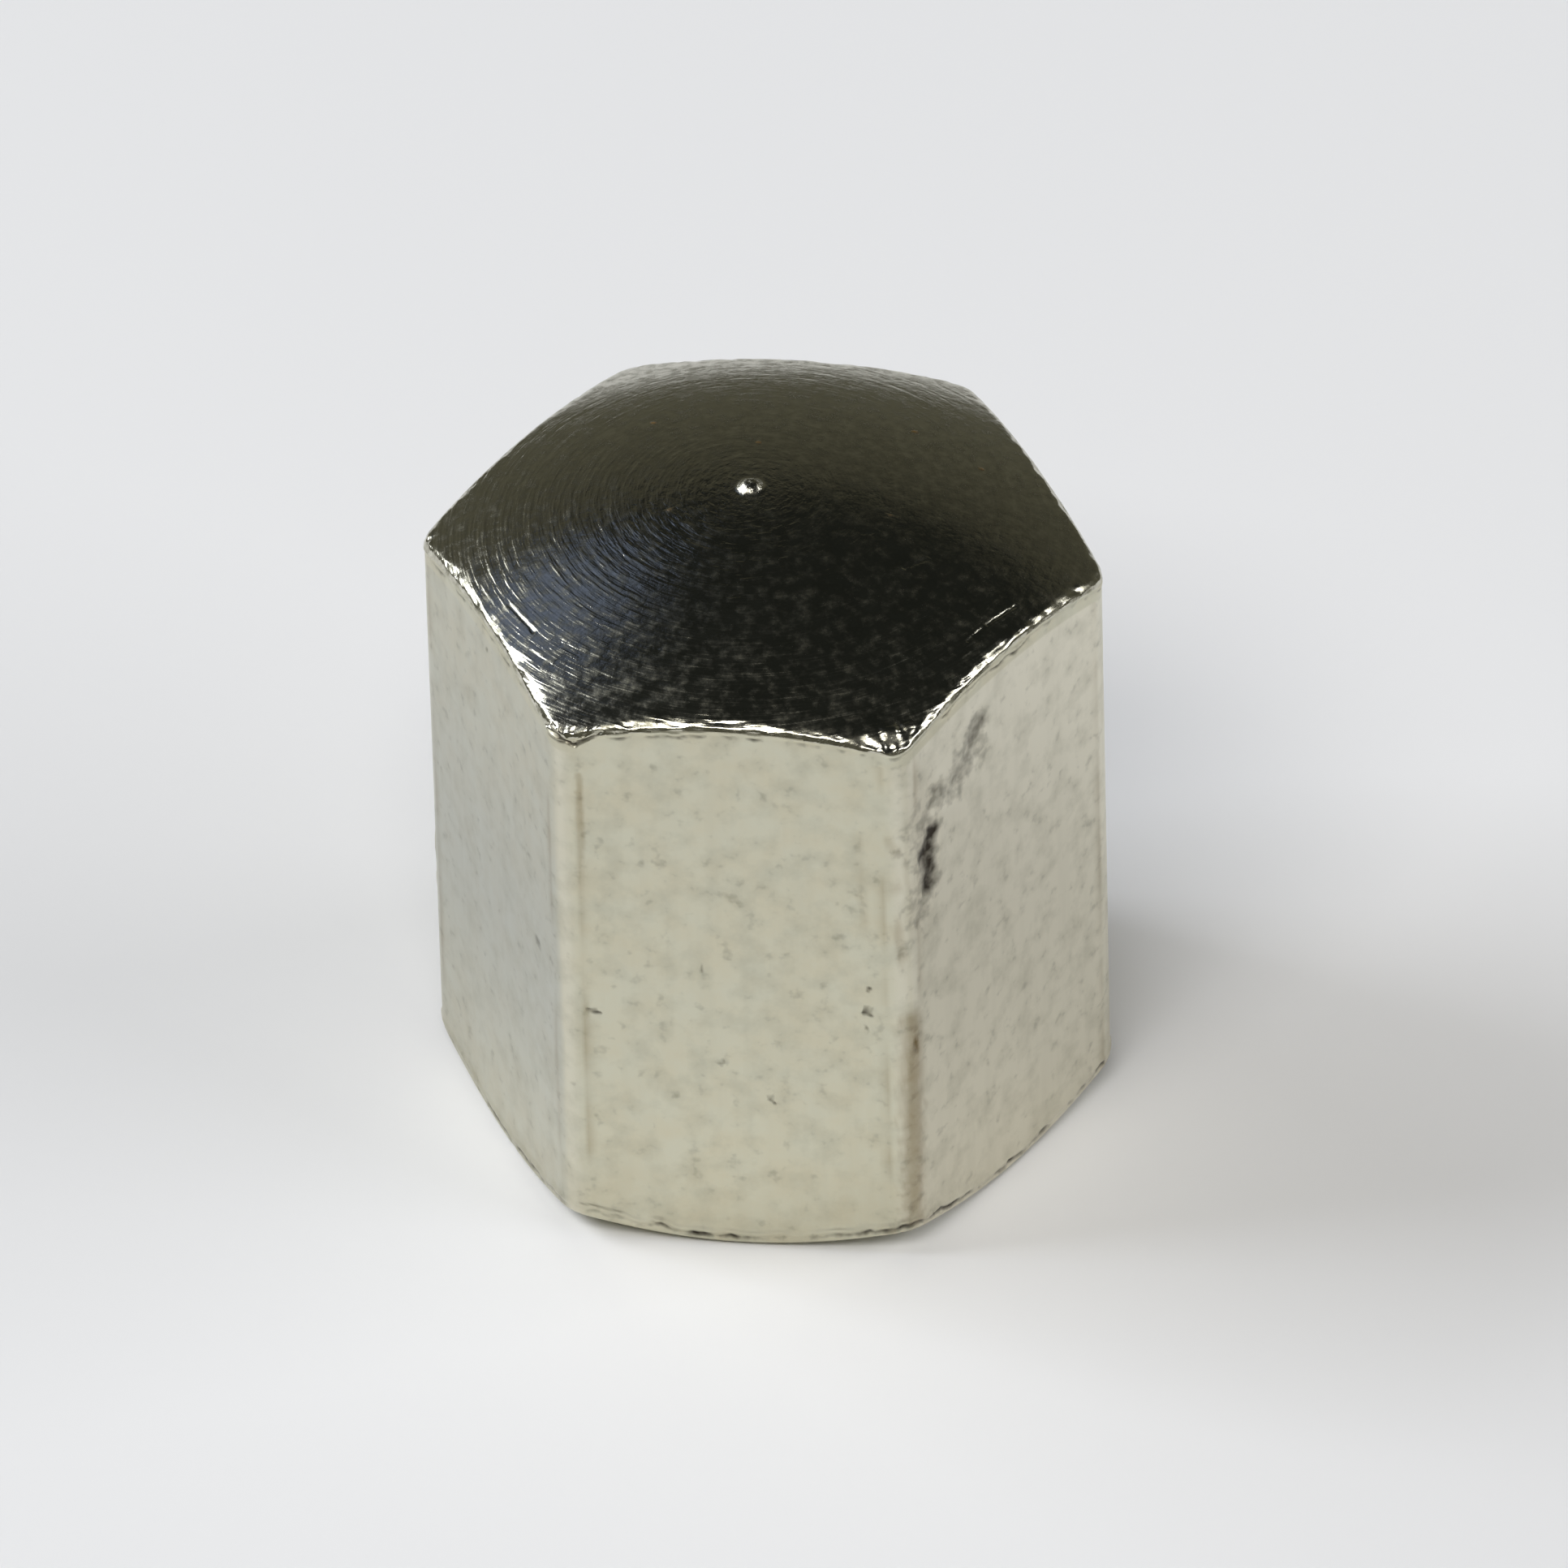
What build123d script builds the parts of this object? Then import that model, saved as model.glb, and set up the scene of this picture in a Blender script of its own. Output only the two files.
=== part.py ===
from build123d import *
import math
import os

# Closed hexagon nut with a low spherical crown, made in one piece from hexagon bar and
# tapped from below. Lengths are in millimetres and angles in degrees. The origin is the
# centre of the bearing face, +Z runs up the thread axis to the crown, and a flat faces -Y.

# Hexagon bar
across_flats = 13.0
upright_edge_radius = 0.8

# Upper end: the crown is part of a ball, with a small break where it meets the sides
height = 15.75
crown_radius = 16.75
crown_edge_radius = 0.2

# Lower end: the round bearing face stops just inside the flats, and a cone lifts the
# corners off whatever the nut is screwed down on
bearing_inset = 0.2
chamfer_angle = 30.0
chamfer_edge_radius = 0.1

# Blind tapped hole, with its wall at the thread's minor diameter
thread_diameter = 8.0
thread_pitch = 1.25
mouth_clearance = 0.3
mouth_angle = 90.0
roof_thickness = 1.75
drill_point_angle = 118.0

# Values that follow from these
flat_distance = across_flats / 2
sharp_corner_distance = flat_distance / math.cos(math.radians(30))
bearing_radius = flat_distance - bearing_inset
thread_height = thread_pitch * math.sqrt(3) / 2
minor_radius = thread_diameter / 2 - 5 / 8 * thread_height
mouth_radius = thread_diameter / 2 + mouth_clearance
mouth_depth = (mouth_radius - minor_radius) / math.tan(math.radians(mouth_angle / 2))
drill_point_height = minor_radius / math.tan(math.radians(drill_point_angle / 2))
drill_tip = height - roof_thickness
bore_depth = drill_tip - drill_point_height


def hexagon_bar():
    """Length of drawn hexagon bar, with its six upright edges rounded."""
    section = RegularPolygon(flat_distance, 6, major_radius=False)
    section = fillet(section.vertices(), upright_edge_radius)
    return extrude(section, height)


def turned(*half_section):
    """Solid of revolution about the thread axis, from (radius, height) points."""
    outline = Polyline(*half_section, close=True)
    return revolve(Plane.XZ * make_face(outline), Axis.Z)


def lower_end_envelope():
    """Round bearing face and the cone that rises from it, past the corners of the bar."""
    rise = (sharp_corner_distance - bearing_radius) * math.tan(math.radians(chamfer_angle))
    return turned(
        (0, 0),
        (bearing_radius, 0),
        (sharp_corner_distance, rise),
        (sharp_corner_distance, height),
        (0, height),
    )


def crown_ball():
    """Ball whose top is the crown. It lies on its side, so its poles are off the crown."""
    return Pos(0, 0, height - crown_radius) * Rot(90, 0, 0) * Sphere(crown_radius)


def tapped_hole():
    """What the drill and the countersink at the mouth take out."""
    return turned(
        (0, 0),
        (mouth_radius, 0),
        (minor_radius, mouth_depth),
        (minor_radius, bore_depth),
        (0, drill_tip),
    )


def run_out_edges(body, surface):
    """Edges where a turned surface runs out on the flats and the upright edges."""
    edges = body.faces().filter_by(surface)[0].edges()
    bearing_edges = body.faces().sort_by(Axis.Z)[0].edges()
    return [edge for edge in edges if edge not in bearing_edges and edge.geom_type != GeomType.LINE]


def cap_nut():
    """The finished nut."""
    nut = hexagon_bar() & lower_end_envelope() & crown_ball()
    nut = fillet(run_out_edges(nut, GeomType.SPHERE), crown_edge_radius)
    nut = fillet(run_out_edges(nut, GeomType.CONE), chamfer_edge_radius)
    return nut - tapped_hole()


os.makedirs("parts", exist_ok=True)
export_step(cap_nut(), "parts/cap_nut.step")
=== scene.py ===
import math
from collections import namedtuple
from functools import partial
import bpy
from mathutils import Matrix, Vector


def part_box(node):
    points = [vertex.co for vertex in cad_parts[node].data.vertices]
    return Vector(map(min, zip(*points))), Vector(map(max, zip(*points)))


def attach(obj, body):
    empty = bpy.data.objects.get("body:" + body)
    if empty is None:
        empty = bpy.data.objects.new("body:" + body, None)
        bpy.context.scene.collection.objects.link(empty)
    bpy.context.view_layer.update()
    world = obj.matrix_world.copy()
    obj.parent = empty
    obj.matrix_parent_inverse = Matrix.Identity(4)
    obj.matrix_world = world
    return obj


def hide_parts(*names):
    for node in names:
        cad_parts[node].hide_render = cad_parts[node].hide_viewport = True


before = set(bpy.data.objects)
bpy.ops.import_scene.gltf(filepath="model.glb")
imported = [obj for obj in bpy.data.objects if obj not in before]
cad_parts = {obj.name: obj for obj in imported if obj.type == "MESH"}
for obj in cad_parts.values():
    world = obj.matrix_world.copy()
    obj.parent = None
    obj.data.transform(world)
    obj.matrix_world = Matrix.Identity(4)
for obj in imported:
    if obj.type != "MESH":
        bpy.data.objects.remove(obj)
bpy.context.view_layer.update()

from types import SimpleNamespace

import bmesh
import bpy
from bpy.props import FloatProperty, FloatVectorProperty, PointerProperty
from mathutils import Matrix, Vector, noise

bl_info = {
    "name": "Cap nut",
    "version": (1, 0, 0),
    "blender": (4, 5, 0),
    "location": "View3D > Sidebar > Cap nut",
    "description": "Models a nickel-plated cap nut, worn as it is, and a small studio for it",
    "category": "Add Mesh",
}

# The nut stands with the centre of its bearing face at the origin and a flat facing -Y.
# Blender's lengths are metres. The mesh is shaped in millimetres and brought down at the end.
MM = 0.001
NODE = "cap_nut"
LOWEST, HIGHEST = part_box(NODE)
HEX_STEP = math.radians(60)

# How finely the mesh is cut, and how much its rings crowd where the surface is worn
STEPS_ROUND_CORNER = 16
CUTS_ACROSS_FLAT = 55
RINGS_UP_SIDE = 92
SIDE_CROWDING = 0.76
STEPS_ROUND_RIM = 9
STEPS_ROUND_LOWER_EDGE = 4
RINGS_OVER_CROWN = 40
CROWN_CROWDING = 0.6
RINGS_OVER_PIP = 11
THREAD_STEPS_ROUND = 96
SHARP_ANGLE = math.radians(25)

# Points that lie this close together, in millimetres, are one point
SAME_POINT = 0.0001
SAME_THREAD_POINT = 0.001

# Surfaces of the nut, in the order of its material slots
FLATS = 0
CROWN = 1
HOLE = 2

# The hole's surface starts this far up, in millimetres, and faces up less than this. The crown's
# reaches below the crown by this share of the rim's radius.
HOLE_STARTS = 0.01
FACING_UP = 0.9
CROWN_REACHES_DOWN = 0.6

# The pip that the tool left at the middle of the turned crown, off the axis of the bar, in
# millimetres. Its foot, its shoulder and its last ring are so many times its radius from its centre.
PIP_CENTRE = Vector((-0.25, 0.23, 0.0))
PIP_RADIUS = 0.26
PIP_HEIGHT = 0.15
PIP_FOOT = 2.0
PIP_SHOULDER = 1.35
PIP_LAST_RING = 0.3

# A metric thread's flanks lean this far, and its depth is this share of the height of the sharp
# triangle between them. Each flank is cut in three.
FLANK_LEAN = math.radians(30)
THREAD_DEPTH = 5 / 8
FLANK_CUTS = (0.33, 0.67, 1)

# Where a mark lies: on one of three flats, by the way that the flat faces, or on the crown
FRONT = math.radians(-90)
RIGHT = math.radians(-30)
LEFT = math.radians(-150)
ON_TOP = None

# One flat is painted brighter, a painted highlight for the floor that it mirrors, and one is painted
# greyer, painted shade for the shaded floor that it mirrors
PAINTED_BRIGHT_FLAT = Vector((math.cos(RIGHT), math.sin(RIGHT), 0))
SHADED_FLAT = Vector((math.cos(LEFT), math.sin(LEFT), 0))

# Marks, in millimetres: from one end to the other, half width, depth, how much dirt it holds, which in
# pits is partly painted shade, and how brown it is stained. Places on a flat are across and up it, and on
# the crown they are x and y.
# Pits, strings of nicks beside the edges, a burr like a V under a corner, a scuff, a rust pit over a
# brown band, scratches and specks on the crown, and lumps that stand up at its corner.
Mark = namedtuple("Mark", "start end half_width depth dirt stain")
MARKS = {face: [Mark(*values) for values in rows] for face, rows in {
    FRONT: (
        ((-3.20, 6.41), (-2.95, 6.34), 0.060, 0.030, 0.9, 0.0),
        ((-0.34, 5.15), (-0.28, 5.16), 0.050, 0.025, 0.7, 0.0),
        ((-0.70, 7.71), (-0.70, 7.75), 0.050, 0.020, 0.5, 0.0),
        ((0.71, 4.16), (0.81, 4.09), 0.050, 0.020, 0.7, 0.0),
        ((2.90, 7.39), (2.95, 7.43), 0.055, 0.025, 0.8, 0.1),
        ((2.80, 6.75), (2.96, 6.70), 0.055, 0.025, 0.8, 0.1),
        ((2.84, 6.38), (2.88, 6.30), 0.050, 0.020, 0.6, 0.1),
        ((2.78, 11.60), (2.88, 9.20), 0.110, 0.012, 0.13, 0.12),
        ((2.80, 10.00), (2.90, 9.50), 0.090, 0.015, 0.24, 0.1),
        ((3.38, 10.10), (3.62, 10.18), 0.100, 0.045, 0.22, 0.2),
        ((3.42, 11.60), (3.60, 11.20), 0.110, 0.040, 0.20, 0.2),
        ((3.60, 9.20), (3.66, 8.20), 0.120, 0.030, 0.16, 0.3),
        ((-1.60, 10.45), (-1.45, 10.50), 0.120, 0.008, 0.25, 0.0),
        ((0.70, 9.92), (0.85, 9.90), 0.120, 0.008, 0.22, 0.0),
        ((2.10, 9.74), (2.60, 9.66), 0.110, 0.010, 0.22, 0.1),
        ((-0.15, 9.95), (0.05, 9.60), 0.130, 0.008, 0.18, 0.1),
        ((-3.94, 14.00), (-3.32, 13.74), 0.060, 0.035, 0.8, 0.0),
        ((-3.32, 13.74), (-2.74, 14.12), 0.060, 0.035, 0.8, 0.0),
        ((-3.25, 12.90), (-3.22, 10.90), 0.080, 0.010, 0.12, 0.35),
    ),
    RIGHT: (
        ((-3.45, 5.72), (-3.41, 5.62), 0.120, 0.030, 0.45, 1.0),
        ((-3.50, 6.40), (-3.56, 0.90), 0.270, 0.010, 0.10, 0.54),
        ((-1.02, 13.10), (-1.25, 12.60), 0.340, 0.022, 0.54, 0.0),
        ((-1.25, 12.60), (-1.85, 11.95), 0.500, 0.022, 0.50, 0.0),
        ((-1.85, 11.95), (-2.65, 11.95), 0.360, 0.020, 0.34, 0.0),
        ((-2.50, 12.20), (-3.05, 11.60), 0.220, 0.025, 0.44, 0.0),
        ((-2.72, 11.20), (-3.00, 10.60), 0.300, 0.050, 0.92, 0.1),
        ((-2.88, 10.60), (-2.85, 9.85), 0.330, 0.040, 0.86, 0.1),
        ((-2.92, 9.90), (-3.18, 9.00), 0.280, 0.030, 0.42, 0.1),
        ((-3.05, 12.20), (-3.25, 9.00), 0.550, 0.010, 0.18, 0.1),
        ((-0.67, 12.16), (-0.92, 12.10), 0.110, 0.010, 0.22, 0.0),
        ((-1.08, 9.25), (-1.05, 9.20), 0.080, 0.010, 0.22, 0.0),
        ((-1.73, 8.50), (-1.70, 8.46), 0.080, 0.010, 0.22, 0.0),
    ),
    LEFT: (
        ((2.35, 7.25), (2.48, 7.33), 0.110, 0.015, 0.42, 0.0),
        ((0.00, 13.62), (0.04, 13.68), 0.060, 0.020, 0.5, 0.0),
        ((-3.72, 5.75), (-3.72, 5.45), 0.110, 0.060, 0.6, 0.0),
        ((-3.72, 4.70), (-3.72, 4.55), 0.080, 0.040, 0.5, 0.0),
    ),
    ON_TOP: (
        ((-5.15, -2.95), (-4.50, -3.85), 0.050, 0.015, 0.0, 0.0),
        ((3.10, -6.14), (3.55, -5.98), 0.300, -0.036, 0.0, 0.0),
        ((3.42, -6.09), (3.52, -6.03), 0.170, -0.050, 0.0, 0.0),
        ((3.80, -5.86), (3.88, -5.80), 0.130, -0.055, 0.0, 0.0),
        ((4.85, -3.35), (5.15, -2.85), 0.045, 0.018, 0.0, 0.0),
        ((5.20, -2.75), (5.75, -1.95), 0.050, 0.020, 0.0, 0.0),
        ((3.30, -1.75), (3.75, -1.35), 0.055, 0.020, 0.0, 0.0),
        ((2.35, -0.95), (2.60, -0.80), 0.045, 0.010, 0.0, 0.0),
        ((-2.72, 2.89), (-2.68, 2.89), 0.055, -0.010, 0.0, 1.0),
        ((-0.30, 1.95), (-0.26, 1.95), 0.050, -0.010, 0.0, 1.0),
        ((2.95, 3.22), (2.99, 3.22), 0.055, -0.010, 0.0, 1.0),
        ((4.52, 2.30), (4.56, 2.30), 0.045, -0.010, 0.0, 0.8),
        ((-1.94, -0.56), (-1.90, -0.56), 0.045, -0.010, 0.0, 0.6),
        ((2.81, -0.18), (2.85, -0.18), 0.045, -0.010, 0.0, 0.6),
    ),
}.items()}

# A mark reaches its full depth at its middle, has a low lip round it, and its dirt, partly painted shade,
# fades outwards:
# all in half widths of the mark. The lip is a hump's middle, half width and height.
MARK_REACH = 2.5
MARK_LIP = (1.3, 0.5, 0.35)
DIRT_FADES_FROM = 0.2
DIRT_FADES_OVER = 1.3

# The mesh is cut finer round marks that are narrower than this, in millimetres, out to so many of
# their half widths
SMALL_MARK = 0.1
FINER_REACH = 2.4

# How far under the crown or in from a flat a point takes its marks, in millimetres
CROWN_SKIN = 0.15
FLAT_SKIN = 0.35

# Bruises along the rim: the way that each lies from the axis and its half width, in degrees, and
# how much deeper than the rest of the rim it is, in millimetres
RIM_BRUISES = (
    (-165, 14, 0.012),
    (-140, 22, 0.006),
    (-104, 12, 0.014),
    (-62, 6, 0.030),
    (-36, 16, 0.020),
    (-10, 14, 0.016),
)
RIM_DEPTH = 0.030
RIM_TILT = math.radians(38)

# Noises that make the wear uneven: how far each swings either way, how often in a millimetre, and
# its seed. Those of the rim and the flats swing so many millimetres.
RIM_DENTS = (0.040, 4.3, 0)
RIM_WAVES = (0.026, 1.2, 1)
BURR_RAGS = (1.0, 2.3, 2)
BURR_WAVES = (0.6, 0.8, 9)
LIP_WAVES = (1.0, 2.0, 3)
LIP_RAGS = (0.6, 5.0, 4)
GAP_PATCHES = (1.5, 0.45, 5)
FLAT_WAVES = (0.006, 0.35, 5)
FLAT_RIPPLES = (0.002, 1.3, 6)
SEAM_PATCHES = (1.4, 0.7, 7)
MARK_RAGS = (0.45, 8.0, 8)

# Rolled burr under the rim, with a crack below it that is darkened with painted shade, in millimetres: how
# far under a sharp rim the crack runs, how far it wanders, how far over it the burr runs, and their sizes
CRACK_DROP = 0.25
CRACK_WANDER = 0.10
CRACK_HALF_WIDTH = 0.06
CRACK_SHADE = 0.70
BURR_OVER_CRACK = 0.10
BURR_STARTS = 0.05
BURR_HALF_WIDTH = 0.08
BURR_HEIGHT = 0.026

# Rolled lip at the lower edge, with a gap below it that is darkened with painted shade, in millimetres
LIP_RISE = 0.27
LIP_WANDER = 0.13
LIP_HALF_WIDTH = 0.10
LIP_HEIGHT = 0.035
GAP_UNDER_LIP = 0.14
GAP_HALF_WIDTH = 0.07
GAP_DEPTH = 0.030
GAP_SHADE_UNDER_LIP = 0.13
GAP_SHADE_HALF_WIDTH = 0.11

# A point takes the rim's wear this near under a sharp rim, and the sides' wear in their skin, in
# millimetres. No point further in than the wear goes takes either.
RIM_REACH = 0.5
SIDE_SKIN = 0.05
WEAR_GOES_IN = 1.0

# What counts as crown, hole and bearing face, in millimetres: this near the crown, this much inside
# the bearing face's edge, and this low
NEAR_CROWN = 0.02
INSIDE_EDGE = 0.01
LOW_DOWN = 0.001

# Bands that run up beside the upright edges: a hump's middle and half width, in millimetres round
# the outline from where the flat ends, and its strength
EDGE_SEAM = (-0.03, 0.14, 0.34)
EDGE_DIRT = (-0.15, 0.40, 0.04)
# The shine band is partly burnish and partly a painted highlight of the floor that the rounded edges
# mirror
EDGE_SHINE = (0.42, 0.40, 0.60)

# The flats turn browner and darker towards the bottom: its strength, and the height where it ends and over
# which it fades
LOW_BROWNING = 0.13
LOW_BROWNING_ENDS = 3.5
LOW_BROWNING_FADES = 4.0

# How much painted shade the flat that mirrors shaded floor takes all over, and how much more up its
# middle: a hump's middle and half width, in millimetres of height, and its strength
SHADE_EVENLY = 0.4
SHADE_MIDDLE = (6.5, 7.0, 0.6)

# Softboxes: place about the nut in degrees, distance, width and height in metres, power in
# watts and the light's own colour
Lamp = namedtuple("Lamp", "name azimuth elevation distance width height power tint")
LAMPS = (
    Lamp("key_softbox", -10, 54, 0.90, 0.55, 0.30, 4.1, "FFFDFA"),
    Lamp("left_softbox", -92, 42, 0.80, 0.40, 0.24, 3.3, "F3F7FF"),
    Lamp("edge_softbox", -116, 27, 0.80, 0.35, 0.20, 0.9, "F4F8FF"),
    Lamp("right_softbox", 86, 34, 0.80, 0.70, 0.24, 2.5, "FDFDFF"),
)

# Heights in the room, as sines of their elevation: the wall starts to darken, the wall ends, and
# only ceiling is left
WALL_DARKENS = 0.25
WALL_ENDS = 0.575
CEILING_STARTS = 0.605

# Soft gleam on the room's ceiling, left of the nut and behind it, and how far it spreads
GLEAM_AZIMUTH = math.radians(-133)
GLEAM_ELEVATION = math.radians(44)
GLEAM_SPREAD = math.radians(17)

# Half the width of the floor, and how near and how far the camera sees, in metres
FLOOR_HALF_WIDTH = 3.0
SEES_FROM = 0.01
SEES_TO = 10.0

# Width of the camera's sensor, in millimetres
SENSOR_WIDTH = 36


def linear(colour):
    """Linear red, green and blue of an sRGB colour that is written as six hex digits."""
    parts = [int(colour[place:place + 2], 16) / 255 for place in (0, 2, 4)]
    return tuple(
        part / 12.92 if part <= 0.04045 else ((part + 0.055) / 1.055) ** 2.4
        for part in parts
    )


def length(name, description, default):
    """A length that a user may change, in metres."""
    return FloatProperty(
        name=name, description=description, default=default, unit="LENGTH", precision=5
    )


def angle(name, description, default):
    """An angle that a user may change, given in degrees and kept in radians."""
    return FloatProperty(
        name=name, description=description, default=math.radians(default), subtype="ANGLE"
    )


def colour(name, description, default):
    """A colour that a user may change, from its sRGB hex digits."""
    return FloatVectorProperty(
        name=name, description=description, default=linear(default), subtype="COLOR", min=0, max=1
    )


class BodySizes(bpy.types.PropertyGroup):
    """Sizes of the hexagon bar and what was turned on its two ends."""

    across_flats: length("Across flats", "Width that a spanner takes", HIGHEST[1] - LOWEST[1])
    height: length("Height", "From the bearing face to the top of the crown", HIGHEST[2] - LOWEST[2])
    upright_edge_radius: length("Upright edge radius", "Rounding of the bar's six edges", 0.8 * MM)
    crown_radius: length("Crown radius", "Radius of the ball that the crown is part of", 16.75 * MM)
    rim_radius: length("Rim radius", "Rounding where the crown meets the sides", 0.2 * MM)
    bearing_inset: length("Bearing inset", "From the flats in to the round bearing face", 0.2 * MM)
    chamfer_angle: angle("Chamfer angle", "Rise of the cone under the corners", 30)
    lower_edge_radius: length("Lower edge radius", "Rounding where the cone meets the sides", 0.1 * MM)


class HoleSizes(bpy.types.PropertyGroup):
    """Sizes of the blind tapped hole."""

    thread_diameter: length("Thread diameter", "Major diameter of the thread", 8 * MM)
    thread_pitch: length("Thread pitch", "From one turn of the thread to the next", 1.25 * MM)
    mouth_clearance: length("Mouth clearance", "Countersink's radius beyond the thread's", 0.3 * MM)
    mouth_angle: angle("Mouth angle", "Angle of the countersink", 90)
    run_out: length("Run-out", "Length over which the last turns of the thread fade", 1.6 * MM)
    roof_thickness: length("Roof thickness", "Metal left over the drill point", 1.75 * MM)
    drill_point_angle: angle("Drill point angle", "Angle of the drill's point", 118)


class Finish(bpy.types.PropertyGroup):
    """Colours of the metal."""

    plate: colour("Plate", "Nickel plate on the flats", "CFCDB9")
    plate_warm: colour("Warm plate", "Plate where it has yellowed a little", "CFCAB3")
    # Grey plate is painted shade on one flat, standing in for the shaded floor that it mirrors
    plate_grey: colour("Grey plate", "Plate on the flat that has stayed grey", "B6BBBC")
    plate_dull: colour("Dull plate", "Plate dulled in smudges and drawing lines", "A6A491")
    # Bright plate is a painted highlight on one flat, and partly burnish, partly painted highlight on the
    # upright edges
    plate_bright: colour("Bright plate", "Plate rubbed bright on one flat and the upright edges", "DFDBCA")
    crown_plate: colour("Crown plate", "Nickel plate on the turned crown", "D2CFC0")
    crown_dull: colour("Dull crown plate", "Fine clouds in the crown's plate", "A6A390")
    crown_speck: colour("Crown speck", "Rust specks on the crown", "C09A5C")
    # Stain also turns the flats browner and darker towards the bottom
    stain: colour("Stain", "Brown stain beside the upright edges and low on the flats", "7F6A3E")
    # Grime is dirt in pits and scuffs and dark patches in the hole, and also painted shade in the pits, in
    # the crack under the rim and in the gap under the lower lip
    grime_and_shade: colour("Grime", "Dirt held in pits and scuffs", "38322A")
    bare_steel: colour("Bare steel", "Steel in the tapped hole", "8E8B84")


class Stage(bpy.types.PropertyGroup):
    """Camera, floor and lamps."""

    view_azimuth: angle("View azimuth", "Turn of the camera about the nut, from straight in front", 7.64)
    view_elevation: angle("View elevation", "How far the camera looks down", 38.63)
    view_roll: angle("View roll", "Tilt of the camera about its own line of sight", -1.585)
    view_distance: length("View distance", "From the camera to the nut", 585 * MM)
    view_width: length("View width", "What the frame spans at the nut", 34.184 * MM)
    view_right: length("View right", "How far the frame's centre lies right of the nut's", 0.332 * MM)
    view_up: length("View up", "How far the frame's centre lies above the nut's", -0.118 * MM)
    floor_colour: colour("Floor", "Pale matt board", "E9E9E9")
    wall_colour: colour("Wall", "Foot of the walls of the dim room", "5A594D")
    wall_top_colour: colour("Wall top", "Top of the walls", "44433A")
    ceiling_colour: colour("Ceiling", "Dark ceiling of the room", "1F211F")
    gleam_colour: colour("Gleam", "Soft gleam on the ceiling", "6E7993")


def in_millimetres(group):
    """The values of a settings group, with lengths in millimetres."""
    values = {}
    for name in group.__annotations__:
        scale = MM if group.bl_rna.properties[name].unit == "LENGTH" else 1
        values[name] = getattr(group, name) / scale
    return SimpleNamespace(**values)


def smooth(value):
    """Eases from 0 to 1 as value goes from 0 to 1, and stays there."""
    value = min(max(value, 0.0), 1.0)
    return value * value * (3 - 2 * value)


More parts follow.
